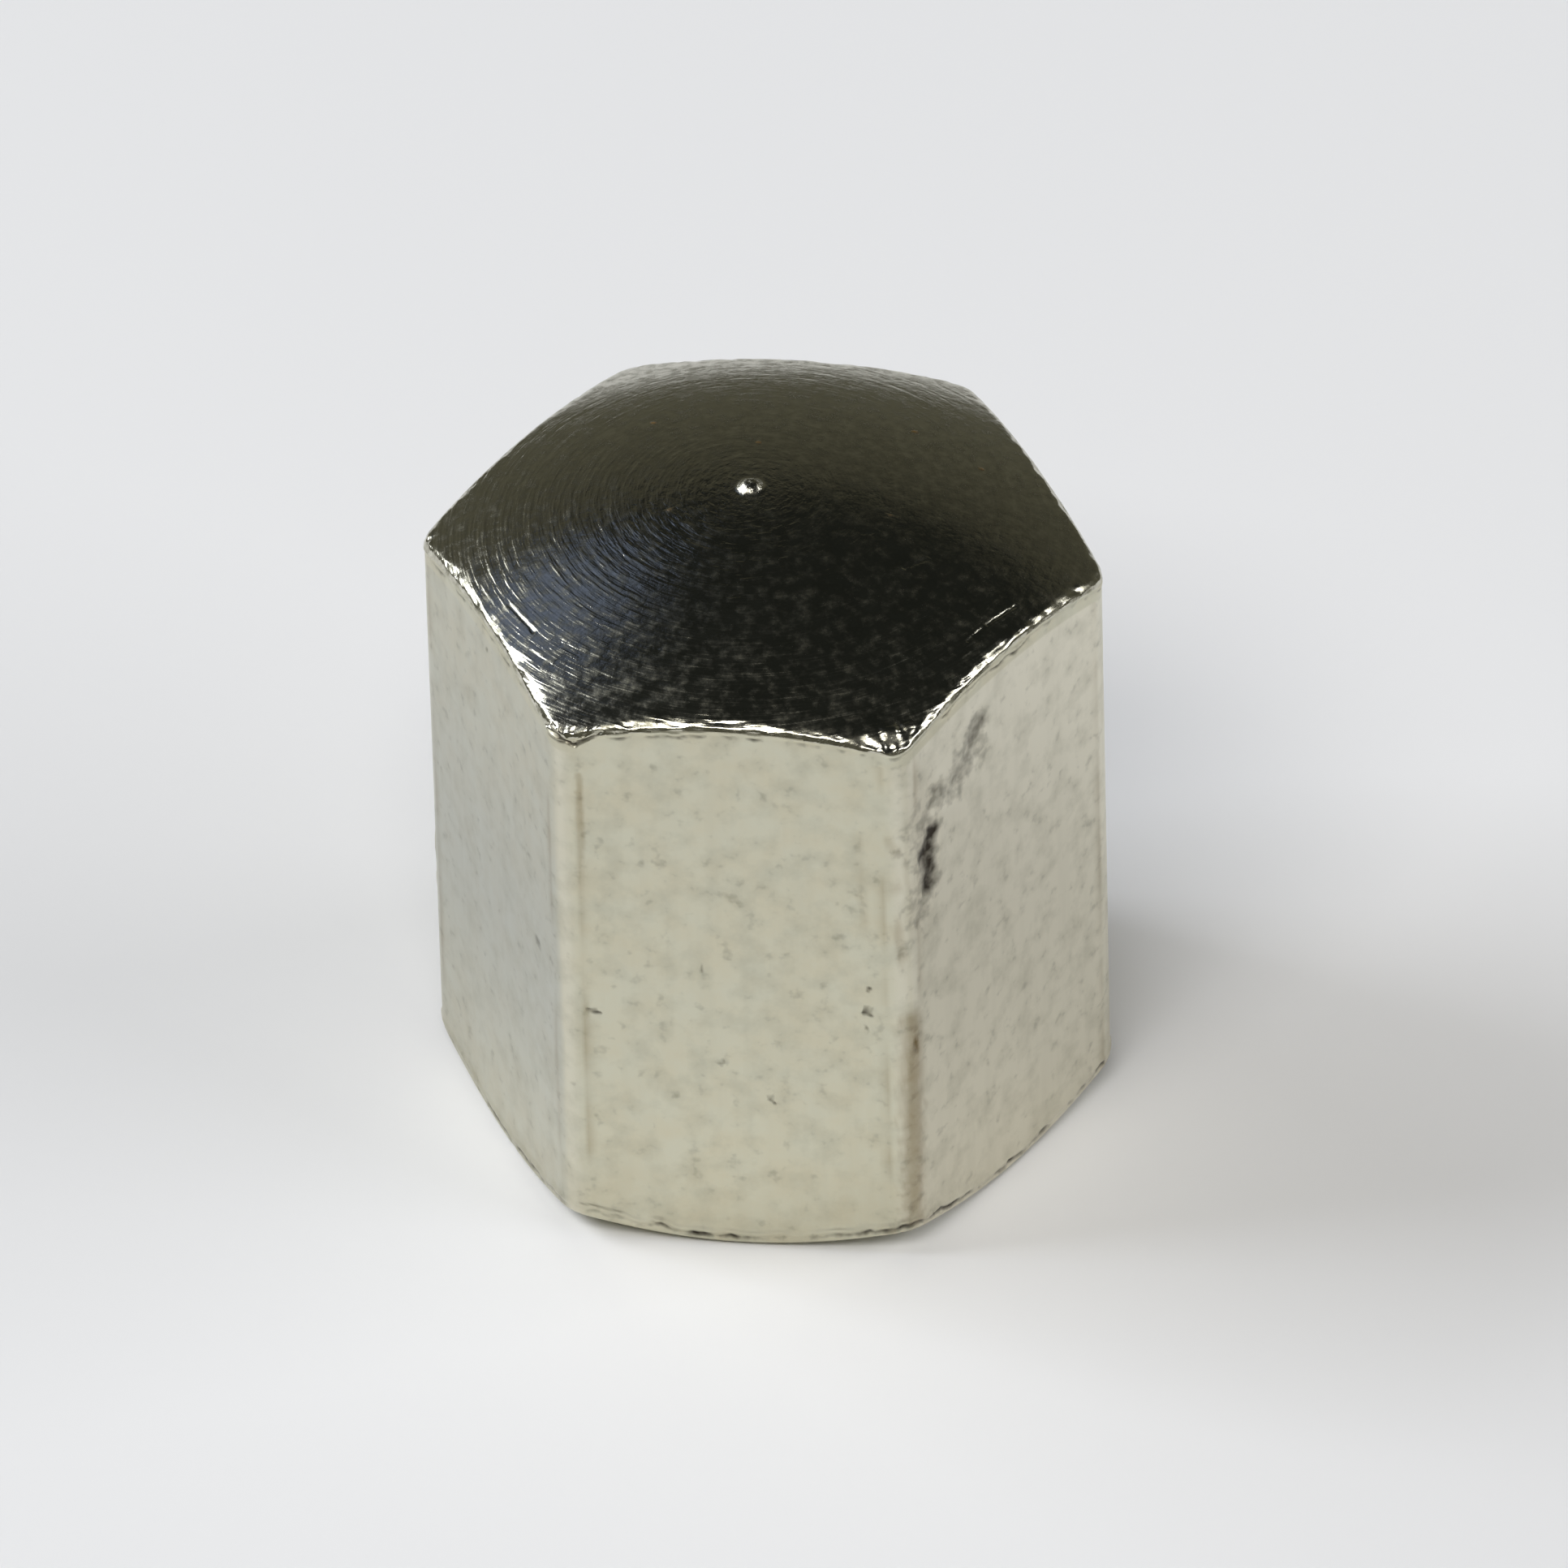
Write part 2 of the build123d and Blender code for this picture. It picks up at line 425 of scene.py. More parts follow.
class Bar:
    """The outside of the nut: where each column of its mesh goes, in millimetres."""

    def __init__(self, sizes):
        self.sizes = sizes
        self.half_width = sizes.across_flats / 2
        self.corner_distance = self.half_width / math.cos(HEX_STEP / 2)
        self.corner_setback = sizes.upright_edge_radius * math.tan(HEX_STEP / 2)
        self.half_straight = self.half_width * math.tan(HEX_STEP / 2) - self.corner_setback
        self.bearing_radius = self.half_width - sizes.bearing_inset

    def flat_under(self, spot):
        """The way that the nearest flat faces, the way along it, and how far along it a point lies."""
        turn = HEX_STEP * (math.floor(math.atan2(spot.y, spot.x) / HEX_STEP) + 0.5)
        outward = Vector((math.cos(turn), math.sin(turn), 0))
        along = Vector((-outward.y, outward.x, 0))
        return outward, along, spot.dot(along)

    def corner_centre(self, spot):
        """Centre of the rounding of the nearest upright edge."""
        outward, along, reach = self.flat_under(spot)
        back = self.half_width - self.sizes.upright_edge_radius
        return outward * back + along * math.copysign(self.half_straight, reach)

    def facing(self, spot):
        """Direction that the side faces at a point of the bar's outline."""
        outward, _, reach = self.flat_under(spot)
        if abs(reach) <= self.half_straight:
            return outward
        return (spot - self.corner_centre(spot)).normalized()

    def crown_height(self, spot):
        """Height of the crown over a point."""
        radius = self.sizes.crown_radius
        return self.sizes.height - radius + math.sqrt(radius ** 2 - spot.x ** 2 - spot.y ** 2)

    def cone_height(self, spot):
        """Height of the cone under the corners, over a point."""
        return (math.hypot(spot.x, spot.y) - self.bearing_radius) * math.tan(self.sizes.chamfer_angle)

    def rim(self, column, share):
        """Point of the rounded rim, from where it leaves the side to where it meets the crown."""
        radius = self.sizes.rim_radius
        outward = self.facing(column)
        ball_drop = math.sqrt(self.sizes.crown_radius ** 2 - column.length_squared)
        slope = math.atan(column.dot(outward) / ball_drop)
        centre = self.crown_height(column) + radius * math.tan(slope) - radius / math.cos(slope)
        turn = share * (math.pi / 2 - slope)
        point = column - outward * radius * (1 - math.cos(turn))
        point.z = centre + radius * math.sin(turn)
        return point

    def lower_edge(self, column, share):
        """Point of the rounded lower edge, from where it leaves the side to where it meets the cone."""
        radius = self.sizes.lower_edge_radius
        outward = self.facing(column)
        slope = math.atan(math.tan(self.sizes.chamfer_angle) * column.dot(outward) / column.length)
        centre = self.cone_height(column) - radius * math.tan(slope) + radius / math.cos(slope)
        turn = share * (math.pi / 2 - slope)
        point = column - outward * radius * (1 - math.cos(turn))
        point.z = centre - radius * math.sin(turn)
        return point

    def from_sharp_edges(self, point):
        """The way that the side faces, and how far a point lies in from it, below a sharp rim and
        above a sharp lower edge."""
        spot = Vector((point.x, point.y, 0))
        outward, _, reach = self.flat_under(spot)
        if abs(reach) <= self.half_straight:
            inset = self.half_width - spot.dot(outward)
        else:
            arm = spot - self.corner_centre(spot)
            outward = arm.normalized()
            inset = self.sizes.upright_edge_radius - arm.length
        edge = spot + outward * inset
        return outward, inset, self.crown_height(edge) - point.z, point.z - self.cone_height(edge)

    def past_flat(self, spot):
        """How far round the outline a point lies from the end of its flat. Negative is on the flat."""
        outward, _, reach = self.flat_under(spot)
        over = abs(reach) - self.half_straight
        if over <= 0:
            return over
        return self.sizes.upright_edge_radius * outward.angle(spot - self.corner_centre(spot))

    def side(self, column, share):
        """Point of the side, from its lower edge to its rim. Rings crowd towards both ends."""
        share -= SIDE_CROWDING * math.sin(2 * math.pi * share) / (2 * math.pi)
        return self.lower_edge(column, 0).lerp(self.rim(column, 0), share)

    def crown(self, column, share):
        """Point of the crown, from its rim to the foot of the pip. Rings crowd towards the rim."""
        share *= 1 - CROWN_CROWDING + CROWN_CROWDING * share
        foot = PIP_CENTRE + column.normalized() * PIP_RADIUS * PIP_FOOT
        point = self.rim(column, 1).lerp(foot, share)
        point.z = self.crown_height(point)
        return point

    def pip(self, column, share):
        """Point of the pip, from its foot to near its top."""
        reach = PIP_FOOT - (PIP_FOOT - PIP_LAST_RING) * share
        point = PIP_CENTRE + column.normalized() * PIP_RADIUS * reach
        point.z = self.crown_height(point) + PIP_HEIGHT * smooth(PIP_SHOULDER - reach)
        return point


def add_outline(bm, bar):
    """Section of the bar, a hexagon with rounded corners, as a ring of edges."""
    bmesh.ops.create_circle(bm, cap_ends=True, segments=6, radius=bar.corner_distance)
    bmesh.ops.rotate(bm, matrix=Matrix.Rotation(HEX_STEP / 2, 3, "Z"), verts=bm.verts)
    bmesh.ops.bevel(
        bm, geom=bm.verts[:], affect="VERTICES", offset=bar.corner_setback, offset_type="OFFSET",
        segments=STEPS_ROUND_CORNER, profile=0.5, material=-1,
    )
    bmesh.ops.delete(bm, geom=bm.faces[:], context="FACES_ONLY")
    for vertex in bm.verts:
        centre = bar.corner_centre(vertex.co)
        vertex.co = centre + (vertex.co - centre).normalized() * bar.sizes.upright_edge_radius
    flats = [edge for edge in bm.edges if edge.calc_length() > bar.half_straight]
    bmesh.ops.subdivide_edges(bm, edges=flats, cuts=CUTS_ACROSS_FLAT)
    return bm.edges[:]


def extrude_ring(bm, ring):
    """Extrudes a ring of edges. Returns its new vertices and the new ring."""
    made = bmesh.ops.extrude_edge_only(bm, edges=ring)["geom"]
    fresh = {item for item in made if isinstance(item, bmesh.types.BMVert)}
    edges = [item for item in made if isinstance(item, bmesh.types.BMEdge)]
    return fresh, [edge for edge in edges if fresh.issuperset(edge.verts)]


def close_ring(bm, ring, point):
    """Draws a ring of edges together at one point."""
    fresh, _ = extrude_ring(bm, ring)
    bmesh.ops.pointmerge(bm, verts=list(fresh), merge_co=point)


def build_outside(bar):
    """Sides, rim and crown, then the cone down to the bearing face, left open there."""
    bm = bmesh.new()
    outline = add_outline(bm, bar)
    column = bm.verts.layers.float_vector.new("column")
    share = bm.verts.layers.float.new("share")
    for vertex in bm.verts:
        vertex[column] = vertex.co
        vertex.co = bar.lower_edge(vertex.co, 0)

    def grow(ring, place, count):
        """Extrudes a ring, cuts the new band into rings, and puts each vertex in its place."""
        for edge in ring:
            edge.verts[0][share] = edge.verts[1][share] = 0
        fresh, end = extrude_ring(bm, ring)
        for vertex in fresh:
            vertex[share] = 1
        if count > 1:
            across = {edge for vertex in fresh for edge in vertex.link_edges} - set(end)
            bmesh.ops.subdivide_edges(bm, edges=list(across), cuts=count - 1, use_grid_fill=True)
        for vertex in bm.verts:
            if vertex[share] > 0:
                vertex.co = place(vertex[column], vertex[share])
                vertex[share] = 0
        return end

    ring = grow(outline, bar.side, RINGS_UP_SIDE)
    ring = grow(ring, bar.rim, STEPS_ROUND_RIM)
    ring = grow(ring, bar.crown, RINGS_OVER_CROWN)
    ring = grow(ring, bar.pip, RINGS_OVER_PIP)
    top = PIP_CENTRE.copy()
    top.z = bar.crown_height(top) + PIP_HEIGHT
    close_ring(bm, ring, top)
    ring = grow(outline, bar.lower_edge, STEPS_ROUND_LOWER_EDGE)
    grow(ring, lambda spot, share: spot.normalized() * bar.bearing_radius, 1)
    bm.verts.layers.float_vector.remove(column)
    bm.verts.layers.float.remove(bm.verts.layers.float["share"])
    return bm


def build_hole(bar, hole):
    """Countersunk, tapped hole with its drill point, left open at its mouth."""
    bm = bmesh.new()
    pitch = hole.thread_pitch
    major = hole.thread_diameter / 2
    minor = major - THREAD_DEPTH * pitch * math.sqrt(3) / 2
    drill_tip = bar.sizes.height - hole.roof_thickness
    wall_top = drill_tip - minor / math.tan(hole.drill_point_angle / 2)

    # One pitch of the wall's section, as rises and radii: flat crest, flank, flat root and flank
    crest = pitch / 4
    depth = major - minor
    flank = depth * math.tan(FLANK_LEAN)
    section = [(0, minor), (crest, minor)]
    section += [(crest + flank * share, minor + depth * share) for share in FLANK_CUTS]
    section += [(pitch - flank * share, minor + depth * share) for share in reversed(FLANK_CUTS)]
    turns = math.ceil(wall_top / pitch) + 3
    wall = [
        bm.verts.new((radius, 0, (turn - 2) * pitch + rise))
        for turn in range(turns) for rise, radius in section
    ]
    edges = [bm.edges.new(pair) for pair in zip(wall, wall[1:])]
    bmesh.ops.spin(
        bm, geom=wall + edges, cent=(0, 0, 0), axis=(0, 0, 1), angle=2 * math.pi,
        dvec=(0, 0, pitch / THREAD_STEPS_ROUND), steps=THREAD_STEPS_ROUND,
        use_merge=False, use_duplicate=False,
    )
    bmesh.ops.remove_doubles(bm, verts=bm.verts, dist=SAME_THREAD_POINT)

    # The thread fades out near the top, and the countersink takes its first turn away
    mouth = major + hole.mouth_clearance
    for vertex in bm.verts:
        radius = math.hypot(vertex.co.x, vertex.co.y)
        fade = smooth((wall_top - vertex.co.z - hole.run_out / 2) / hole.run_out)
        wanted = minor + (radius - minor) * fade
        wanted = max(wanted, mouth - vertex.co.z * math.tan(hole.mouth_angle / 2))
        vertex.co.xy *= wanted / radius
    for height, below in ((0, True), (wall_top, False)):
        bmesh.ops.bisect_plane(
            bm, geom=bm.verts[:] + bm.edges[:] + bm.faces[:], dist=SAME_POINT,
            plane_co=(0, 0, height), plane_no=(0, 0, 1), clear_inner=below, clear_outer=not below,
        )
    ends = [edge for edge in bm.edges if edge.is_boundary]
    top_ring = [edge for edge in ends if edge.verts[0].co.z > wall_top / 2]
    close_ring(bm, top_ring, (0, 0, drill_tip))
    return bm


def marks_near(point, bar, reach):
    """Marks that lie near a point, each with its distance. Distance and reach are in half widths."""
    for face, marks in MARKS.items():
        if face is ON_TOP:
            if point.z < bar.crown_height(point) - CROWN_SKIN:
                continue
            spot = Vector((point.x, point.y))
        else:
            outward = Vector((math.cos(face), math.sin(face), 0))
            if point.dot(outward) < bar.half_width - FLAT_SKIN:
                continue
            spot = Vector((outward.x * point.y - outward.y * point.x, point.z))
        for mark in marks:
            start = Vector(mark.start)
            run = Vector(mark.end) - start
            share = min(max((spot - start).dot(run) / run.length_squared, 0), 1)
            distance = (spot - start - run * share).length / mark.half_width
            if distance < reach:
                yield mark, distance


def refine_marks(bm, bar):
    """Cuts the mesh finer where a small mark lies."""
    near = set()
    for face in bm.faces:
        centre = face.calc_center_median()
        if any(mark.half_width < SMALL_MARK for mark, _ in marks_near(centre, bar, FINER_REACH)):
            near.update(face.edges)
    bmesh.ops.subdivide_edges(bm, edges=list(near), cuts=2, use_grid_fill=True)


def hump(value, middle, half_width, height=1):
    """The height at the middle, easing to 0 at half_width either side of it."""
    return height * smooth(1 - abs(value - middle) / half_width)


def rough_noise(spot, grain):
    """Smooth noise about 0, of a grain that gives its swing, its swings in a millimetre and its seed."""
    swing, often, seed = grain
    return swing * noise.noise(spot * often + Vector((0, 0, 10 * seed)))


def wear_rim(spot, outward, inset, drop):
    """Shift of a point near the rim, and its painted shade: a ragged bruised facet, with a rolled burr
    under it and painted shade in the crack below.
    """
    lies = math.degrees(math.atan2(spot.y, spot.x))
    depth = RIM_DEPTH + rough_noise(spot, RIM_DENTS) + rough_noise(spot, RIM_WAVES)
    for middle, half_width, deeper in RIM_BRUISES:
        depth += hump((lies - middle + 180) % 360, 180, half_width, deeper)
    over = depth - inset * math.sin(RIM_TILT) - drop * math.cos(RIM_TILT)
    facet = outward * math.sin(RIM_TILT) + Vector((0, 0, math.cos(RIM_TILT)))
    shift = facet * -max(over, 0)
    ragged = rough_noise(spot, BURR_RAGS) + rough_noise(spot, BURR_WAVES)
    crack = CRACK_DROP + CRACK_WANDER * ragged
    if drop > BURR_STARTS:
        burr = (1 + ragged) * hump(drop, crack - BURR_OVER_CRACK, BURR_HALF_WIDTH)
        opening = (0.6 + ragged) * hump(drop, crack, CRACK_HALF_WIDTH)
        shift += outward * BURR_HEIGHT * (burr - opening)
    return shift, hump(drop, crack, BURR_HALF_WIDTH, CRACK_SHADE) * smooth(0.35 + 1.6 * ragged)


def wear_lower_edge(spot, outward, rise):
    """Shift of a point near the lower edge, and its painted shade: a rolled lip, with a gap under it
    darkened with painted shade.
    """
    ragged = rough_noise(spot, LIP_WAVES) + rough_noise(spot, LIP_RAGS)
    patchy = smooth(0.55 + rough_noise(spot, GAP_PATCHES))
    lip = LIP_RISE + LIP_WANDER * ragged
    shift = outward * (1 + 0.7 * ragged) * hump(rise, lip, LIP_HALF_WIDTH, LIP_HEIGHT)
    shift -= outward * patchy * hump(rise, lip - GAP_UNDER_LIP, GAP_HALF_WIDTH, GAP_DEPTH)
    gap_shade = hump(rise, lip - GAP_SHADE_UNDER_LIP, GAP_SHADE_HALF_WIDTH, 0.25 + 0.6 * patchy)
    return shift, gap_shade * smooth(0.8 + 1.2 * ragged)


def wear_down(bm, bar):
    """Moves the surface where it is bruised, burred, scuffed or pitted. The mesh's layers tell the
    materials where dirt and painted shade, stain, burnish and painted highlight, and one flat's painted
    shade lie."""
    layers = bm.verts.layers.float
    dirt, stain, burnish, greyness = [
        layers.new(name) for name in ("dirt", "stain", "burnish", "greyness")
    ]
    bm.normal_update()
    moves = []
    for vertex in bm.verts:
        point = vertex.co
        radius = math.hypot(point.x, point.y)
        on_crown = point.z > bar.crown_height(point) - NEAR_CROWN
        in_hole = not on_crown and radius < bar.bearing_radius - INSIDE_EDGE
        if in_hole or point.z < LOW_DOWN:
            continue
        move = Vector()
        if radius > bar.half_width - WEAR_GOES_IN:
            outward, inset, drop, rise = bar.from_sharp_edges(point)
            spot = Vector((point.x, point.y, 0))
            # Near the rim the dirt layer takes painted shade in the crack under the burr, and lower down
            # in the gap under the lip
            if drop < RIM_REACH:
                shift, held = wear_rim(spot, outward, inset, drop)
                move += shift
                vertex[dirt] = held
            elif inset < SIDE_SKIN:
                shift, held = wear_lower_edge(spot, outward, rise)
                move += shift
                move += outward * (rough_noise(point, FLAT_WAVES) + rough_noise(point, FLAT_RIPPLES))
                past = bar.past_flat(spot)
                seam = hump(past, *EDGE_SEAM) * smooth(0.45 + rough_noise(point, SEAM_PATCHES))
                low = LOW_BROWNING * smooth((LOW_BROWNING_ENDS - point.z) / LOW_BROWNING_FADES)
                vertex[dirt] = held + hump(past, *EDGE_DIRT)
                vertex[stain] = seam + low

                # Both fade where the outline turns away from the flat's own direction
                # Painted highlight on one flat and painted shade on another, standing in for the floor
                # that each mirrors
                brightened = smooth(10 * outward.dot(PAINTED_BRIGHT_FLAT) - 9)
                grey = smooth(10 * outward.dot(SHADED_FLAT) - 9)
                vertex[burnish] = max(brightened, hump(past, *EDGE_SHINE))
                vertex[greyness] = grey * (SHADE_EVENLY + hump(point.z, *SHADE_MIDDLE))
        for mark, distance in marks_near(point, bar, MARK_REACH):
            distance *= 1 + rough_noise(point, MARK_RAGS)
            held = 1 - smooth((distance - DIRT_FADES_FROM) / DIRT_FADES_OVER)
            move += vertex.normal * mark.depth * (hump(distance, *MARK_LIP) - 1 + smooth(distance))
            vertex[dirt] = max(vertex[dirt], mark.dirt * held)
            vertex[stain] = max(vertex[stain], mark.stain * held)
        moves.append((vertex, move))
    for vertex, move in moves:
        vertex.co += move


def build_nut(sizes, hole):
    """Mesh of the whole nut, in metres."""
    bar = Bar(sizes)
    bm = build_outside(bar)
    tapped = build_hole(bar, hole)
    mesh = bpy.data.meshes.new("cap_nut_metal")
    tapped.to_mesh(mesh)
    tapped.free()
    bm.from_mesh(mesh)
    bearing_face = [edge for edge in bm.edges if edge.is_boundary]
    bmesh.ops.triangle_fill(bm, edges=bearing_face, use_beauty=True, normal=(0, 0, -1))
    bmesh.ops.remove_doubles(bm, verts=bm.verts, dist=SAME_POINT)
    bmesh.ops.recalc_face_normals(bm, faces=bm.faces)
    bm.normal_update()
    for edge in bm.edges:
        edge.smooth = edge.calc_face_angle(0) < SHARP_ANGLE
    for face in bm.faces:
        face.smooth = True
        face.material_index = FLATS
        centre = face.calc_center_median()
        radius = math.hypot(centre.x, centre.y)
        inside = radius < bar.bearing_radius and centre.z < sizes.height - hole.roof_thickness
        if inside and centre.z > HOLE_STARTS and face.normal.z < FACING_UP:
            face.material_index = HOLE
        if centre.z > bar.crown_height(centre) - CROWN_REACHES_DOWN * sizes.rim_radius:
            face.material_index = CROWN
    refine_marks(bm, bar)
    wear_down(bm, bar)
    bmesh.ops.scale(bm, vec=(MM, MM, MM), verts=bm.verts)
    bm.to_mesh(mesh)
    bm.free()
    return mesh


def add_node(tree, kind, settings=None, links=None, output=0):
    """Adds a node, sets its own values, links or sets its sockets, and returns one of its outputs."""
    node = tree.nodes.new(kind)
    for name, value in (settings or {}).items():
        setattr(node, name, value)
    for name, value in (links or {}).items():
        if isinstance(value, bpy.types.NodeSocket):
            tree.links.new(value, node.inputs[name])
        else:
            node.inputs[name].default_value = value
    return node.outputs[output] if node.outputs else None


def new_material(name):
    """Empty node material. Returns it and add_node for its tree."""
    material = bpy.data.materials.new(name)
    material.use_nodes = True
    material.node_tree.nodes.clear()
    return material, partial(add_node, material.node_tree)


def rgba(colour):
    """A setting's colour with full opacity."""
    return (*colour, 1.0)


# A Mix node's sockets for colours: what it goes from and to, and its result
RGBA = {"data_type": "RGBA"}
FROM = 6
TO = 7
MIXED = 2


def satin_nickel(finish):
    """Nickel plate on the drawn sides of the bar."""
    material, add = new_material("nickel_plate_on_drawn_steel")

    # Plate follows the drawn steel under it, so the eye sees a satin sheen with faint lines up the
    # flats. Years of handling have clouded it yellow and dull, and left dirt in its pits. Grime also
    # paints shade in the pits, in the crack under the rim and in the gap under the lower lip.
    place = add("ShaderNodeTexCoord", output="Object")
    upright = add("ShaderNodeMapping", links={"Vector": place, "Scale": (1, 1, 0.06)})

    # Clouds are half a millimetre to a millimetre across
    mottle = add("ShaderNodeTexNoise", links={
        "Vector": place, "Scale": 1 / (0.9 * MM), "Detail": 6.0, "Roughness": 0.62,
    })
    smudge = add("ShaderNodeTexNoise", links={
        "Vector": place, "Scale": 1 / (0.6 * MM), "Detail": 4.0, "Roughness": 0.55,
    })

    # Drawing lines are 0.05 mm apart and pits 0.1 mm across. Both are drawn three times as coarse
    # or more, because they wouldn't show otherwise.
    lines = add("ShaderNodeTexNoise", links={"Vector": upright, "Scale": 1 / (0.35 * MM), "Detail": 2.0})
    pits = add("ShaderNodeTexNoise", links={"Vector": place, "Scale": 1 / (0.30 * MM), "Detail": 2.0})

    yellowed = add("ShaderNodeMapRange", links={"Value": mottle, "From Min": 0.36, "From Max": 0.64})
    lined = add("ShaderNodeMapRange", links={
        "Value": lines, "From Min": 0.45, "From Max": 0.80, "To Max": 0.12,
    })
    smudged = add("ShaderNodeMapRange", links={
        "Value": smudge, "From Min": 0.44, "From Max": 0.80, "To Max": 0.50,
    })

    # The mesh's own layers say where one flat is painted brighter as a painted highlight, where the
    # upright edges are rubbed bright and partly painted with a highlight, where one flat is painted greyer
    # as painted shade, and where stain, dirt and painted shade lie
    brightened, greyness, stain, dirt = [
        add("ShaderNodeAttribute", {"attribute_name": name}, output="Fac")
        for name in ("burnish", "greyness", "stain", "dirt")
    ]
    shaded_share = add("ShaderNodeMapRange", links={"Value": greyness, "To Max": 0.45})
    cloudy = add("ShaderNodeMath", {"operation": "ADD"}, {0: mottle, 1: 0.5})
    browned = add("ShaderNodeMath", {"operation": "MULTIPLY"}, {0: stain, 1: cloudy})
    # Dirt, painted shade and pits together say where the grime colour darkens the plate
    settled_and_shaded = add("ShaderNodeMath", {"operation": "ADD"}, {0: dirt, 1: pits})
    soiled_and_shaded = add("ShaderNodeMapRange", links={"Value": settled_and_shaded, "From Min": 0.63, "From Max": 1.45})

    # Each colour lies over the ones before it
    colour = rgba(finish.plate)
    for share, tint in (
        (yellowed, finish.plate_warm),
        (brightened, finish.plate_bright),
        (shaded_share, finish.plate_grey),
        (lined, finish.plate_dull),
        (smudged, finish.plate_dull),
        (browned, finish.stain),
        (soiled_and_shaded, finish.grime_and_shade),
    ):
        colour = add("ShaderNodeMix", RGBA, {0: share, FROM: colour, TO: rgba(tint)}, MIXED)

    # Satin where the plate is clean, and dull where grime and painted shade lie
    satin = add("ShaderNodeMapRange", links={"Value": mottle, "To Min": 0.28, "To Max": 0.40})
    roughness = add("ShaderNodeMix", links={0: soiled_and_shaded, 2: satin, 3: 0.5})
    pitted = add("ShaderNodeBump", links={"Height": pits, "Distance": -0.003 * MM})
    relief = add("ShaderNodeBump", links={"Height": lines, "Distance": 0.002 * MM, "Normal": pitted})
    shader = add("ShaderNodeBsdfPrincipled", links={
        "Base Color": colour, "Metallic": 1.0, "Roughness": roughness, "Normal": relief,
    })
    add("ShaderNodeOutputMaterial", links={"Surface": shader})
    return material


# Two sets of rings that the turning tool left: spacing in millimetres, how often they break in a
# turn, depth in millimetres, and the noise between which they are cut. The tool's feed set them
# about 0.16 mm apart, and they are drawn no coarser.
RINGS = (
    (0.14, 3.0, 0.0078, 0.30, 0.70),
    (0.11, 5.0, 0.0050, 0.48, 0.72),
)


def turned_nickel(finish):
    """Nickel plate on the turned crown."""
    material, add = new_material("nickel_plate_on_turned_steel")

    # Plate over a fine turned surface is nearly a mirror. The eye sees the dark room in it, broken
    # up by rings round the pip that are clearest towards the front left, and faint wavy smears.
    place = add("ShaderNodeTexCoord", output="Object")
    centred = add("ShaderNodeVectorMath", {"operation": "MULTIPLY_ADD"}, {
        0: place, 1: (1 / MM, 1 / MM, 0), 2: -PIP_CENTRE,
    })
    radius = add("ShaderNodeVectorMath", {"operation": "LENGTH"}, {0: centred}, "Value")
    bearing = add("ShaderNodeVectorMath", {"operation": "NORMALIZE"}, {0: centred})
    front_left = add("ShaderNodeVectorMath", {"operation": "DOT_PRODUCT"}, {
        0: centred, 1: (-0.5, -0.87, 0),
    }, "Value")
    clear = add("ShaderNodeMapRange", links={
        "Value": front_left, "From Min": -2.0, "From Max": 2.5, "To Min": 0.22, "To Max": 1.0,
    })

    # The plate is dimpled and dull in spots a quarter of a millimetre across, and smears are twice that
    spots = add("ShaderNodeTexNoise", links={
        "Vector": place, "Scale": 1 / (0.25 * MM), "Detail": 4.0, "Roughness": 0.6,
    })
    smear = add("ShaderNodeTexNoise", links={
        "Vector": place, "Scale": 1 / (0.5 * MM), "Detail": 5.0, "Roughness": 0.6,
    })
    dimpled = add("ShaderNodeBump", links={"Height": spots, "Distance": 0.006 * MM})
    relief = add("ShaderNodeBump", links={"Height": smear, "Distance": 0.0045 * MM, "Normal": dimpled})
    for spacing, breaks, depth, start, end in RINGS:
        round_it = add("ShaderNodeVectorMath", {"operation": "SCALE"}, {0: bearing, "Scale": breaks})
        outward = add("ShaderNodeMath", {"operation": "DIVIDE"}, {0: radius, 1: spacing})
        lifted = add("ShaderNodeCombineXYZ", links={2: outward})
        spot = add("ShaderNodeVectorMath", {"operation": "ADD"}, {0: round_it, 1: lifted})
        rings = add("ShaderNodeTexNoise", links={"Vector": spot, "Scale": 1.0, "Detail": 2.0})
        cut = add("ShaderNodeMapRange", links={"Value": rings, "From Min": start, "From Max": end})
        shown = add("ShaderNodeMath", {"operation": "MULTIPLY"}, {0: cut, 1: clear})
        relief = add("ShaderNodeBump", links={"Height": shown, "Distance": depth * MM, "Normal": relief})

    dulled = add("ShaderNodeMapRange", links={"Value": spots, "From Min": 0.35, "From Max": 0.70})
    colour = add("ShaderNodeMix", RGBA, {
        0: dulled, FROM: rgba(finish.crown_plate), TO: rgba(finish.crown_dull),
    }, MIXED)
    stain = add("ShaderNodeAttribute", {"attribute_name": "stain"}, output="Fac")
    colour = add("ShaderNodeMix", RGBA, {0: stain, FROM: colour, TO: rgba(finish.crown_speck)}, MIXED)
    polished = add("ShaderNodeMapRange", links={"Value": smear, "To Min": 0.06, "To Max": 0.24})
    filmed = add("ShaderNodeMapRange", links={
        "Value": spots, "From Min": 0.44, "From Max": 0.80, "To Max": 0.20,
    })
    dull = add("ShaderNodeMath", {"operation": "ADD"}, {0: polished, 1: filmed})
    roughness = add("ShaderNodeMix", links={0: stain, 2: dull, 3: 0.5})
    shader = add("ShaderNodeBsdfPrincipled", links={
        "Base Color": colour, "Metallic": 1.0, "Roughness": roughness, "Normal": relief,
    })
    add("ShaderNodeOutputMaterial", links={"Surface": shader})
    return material


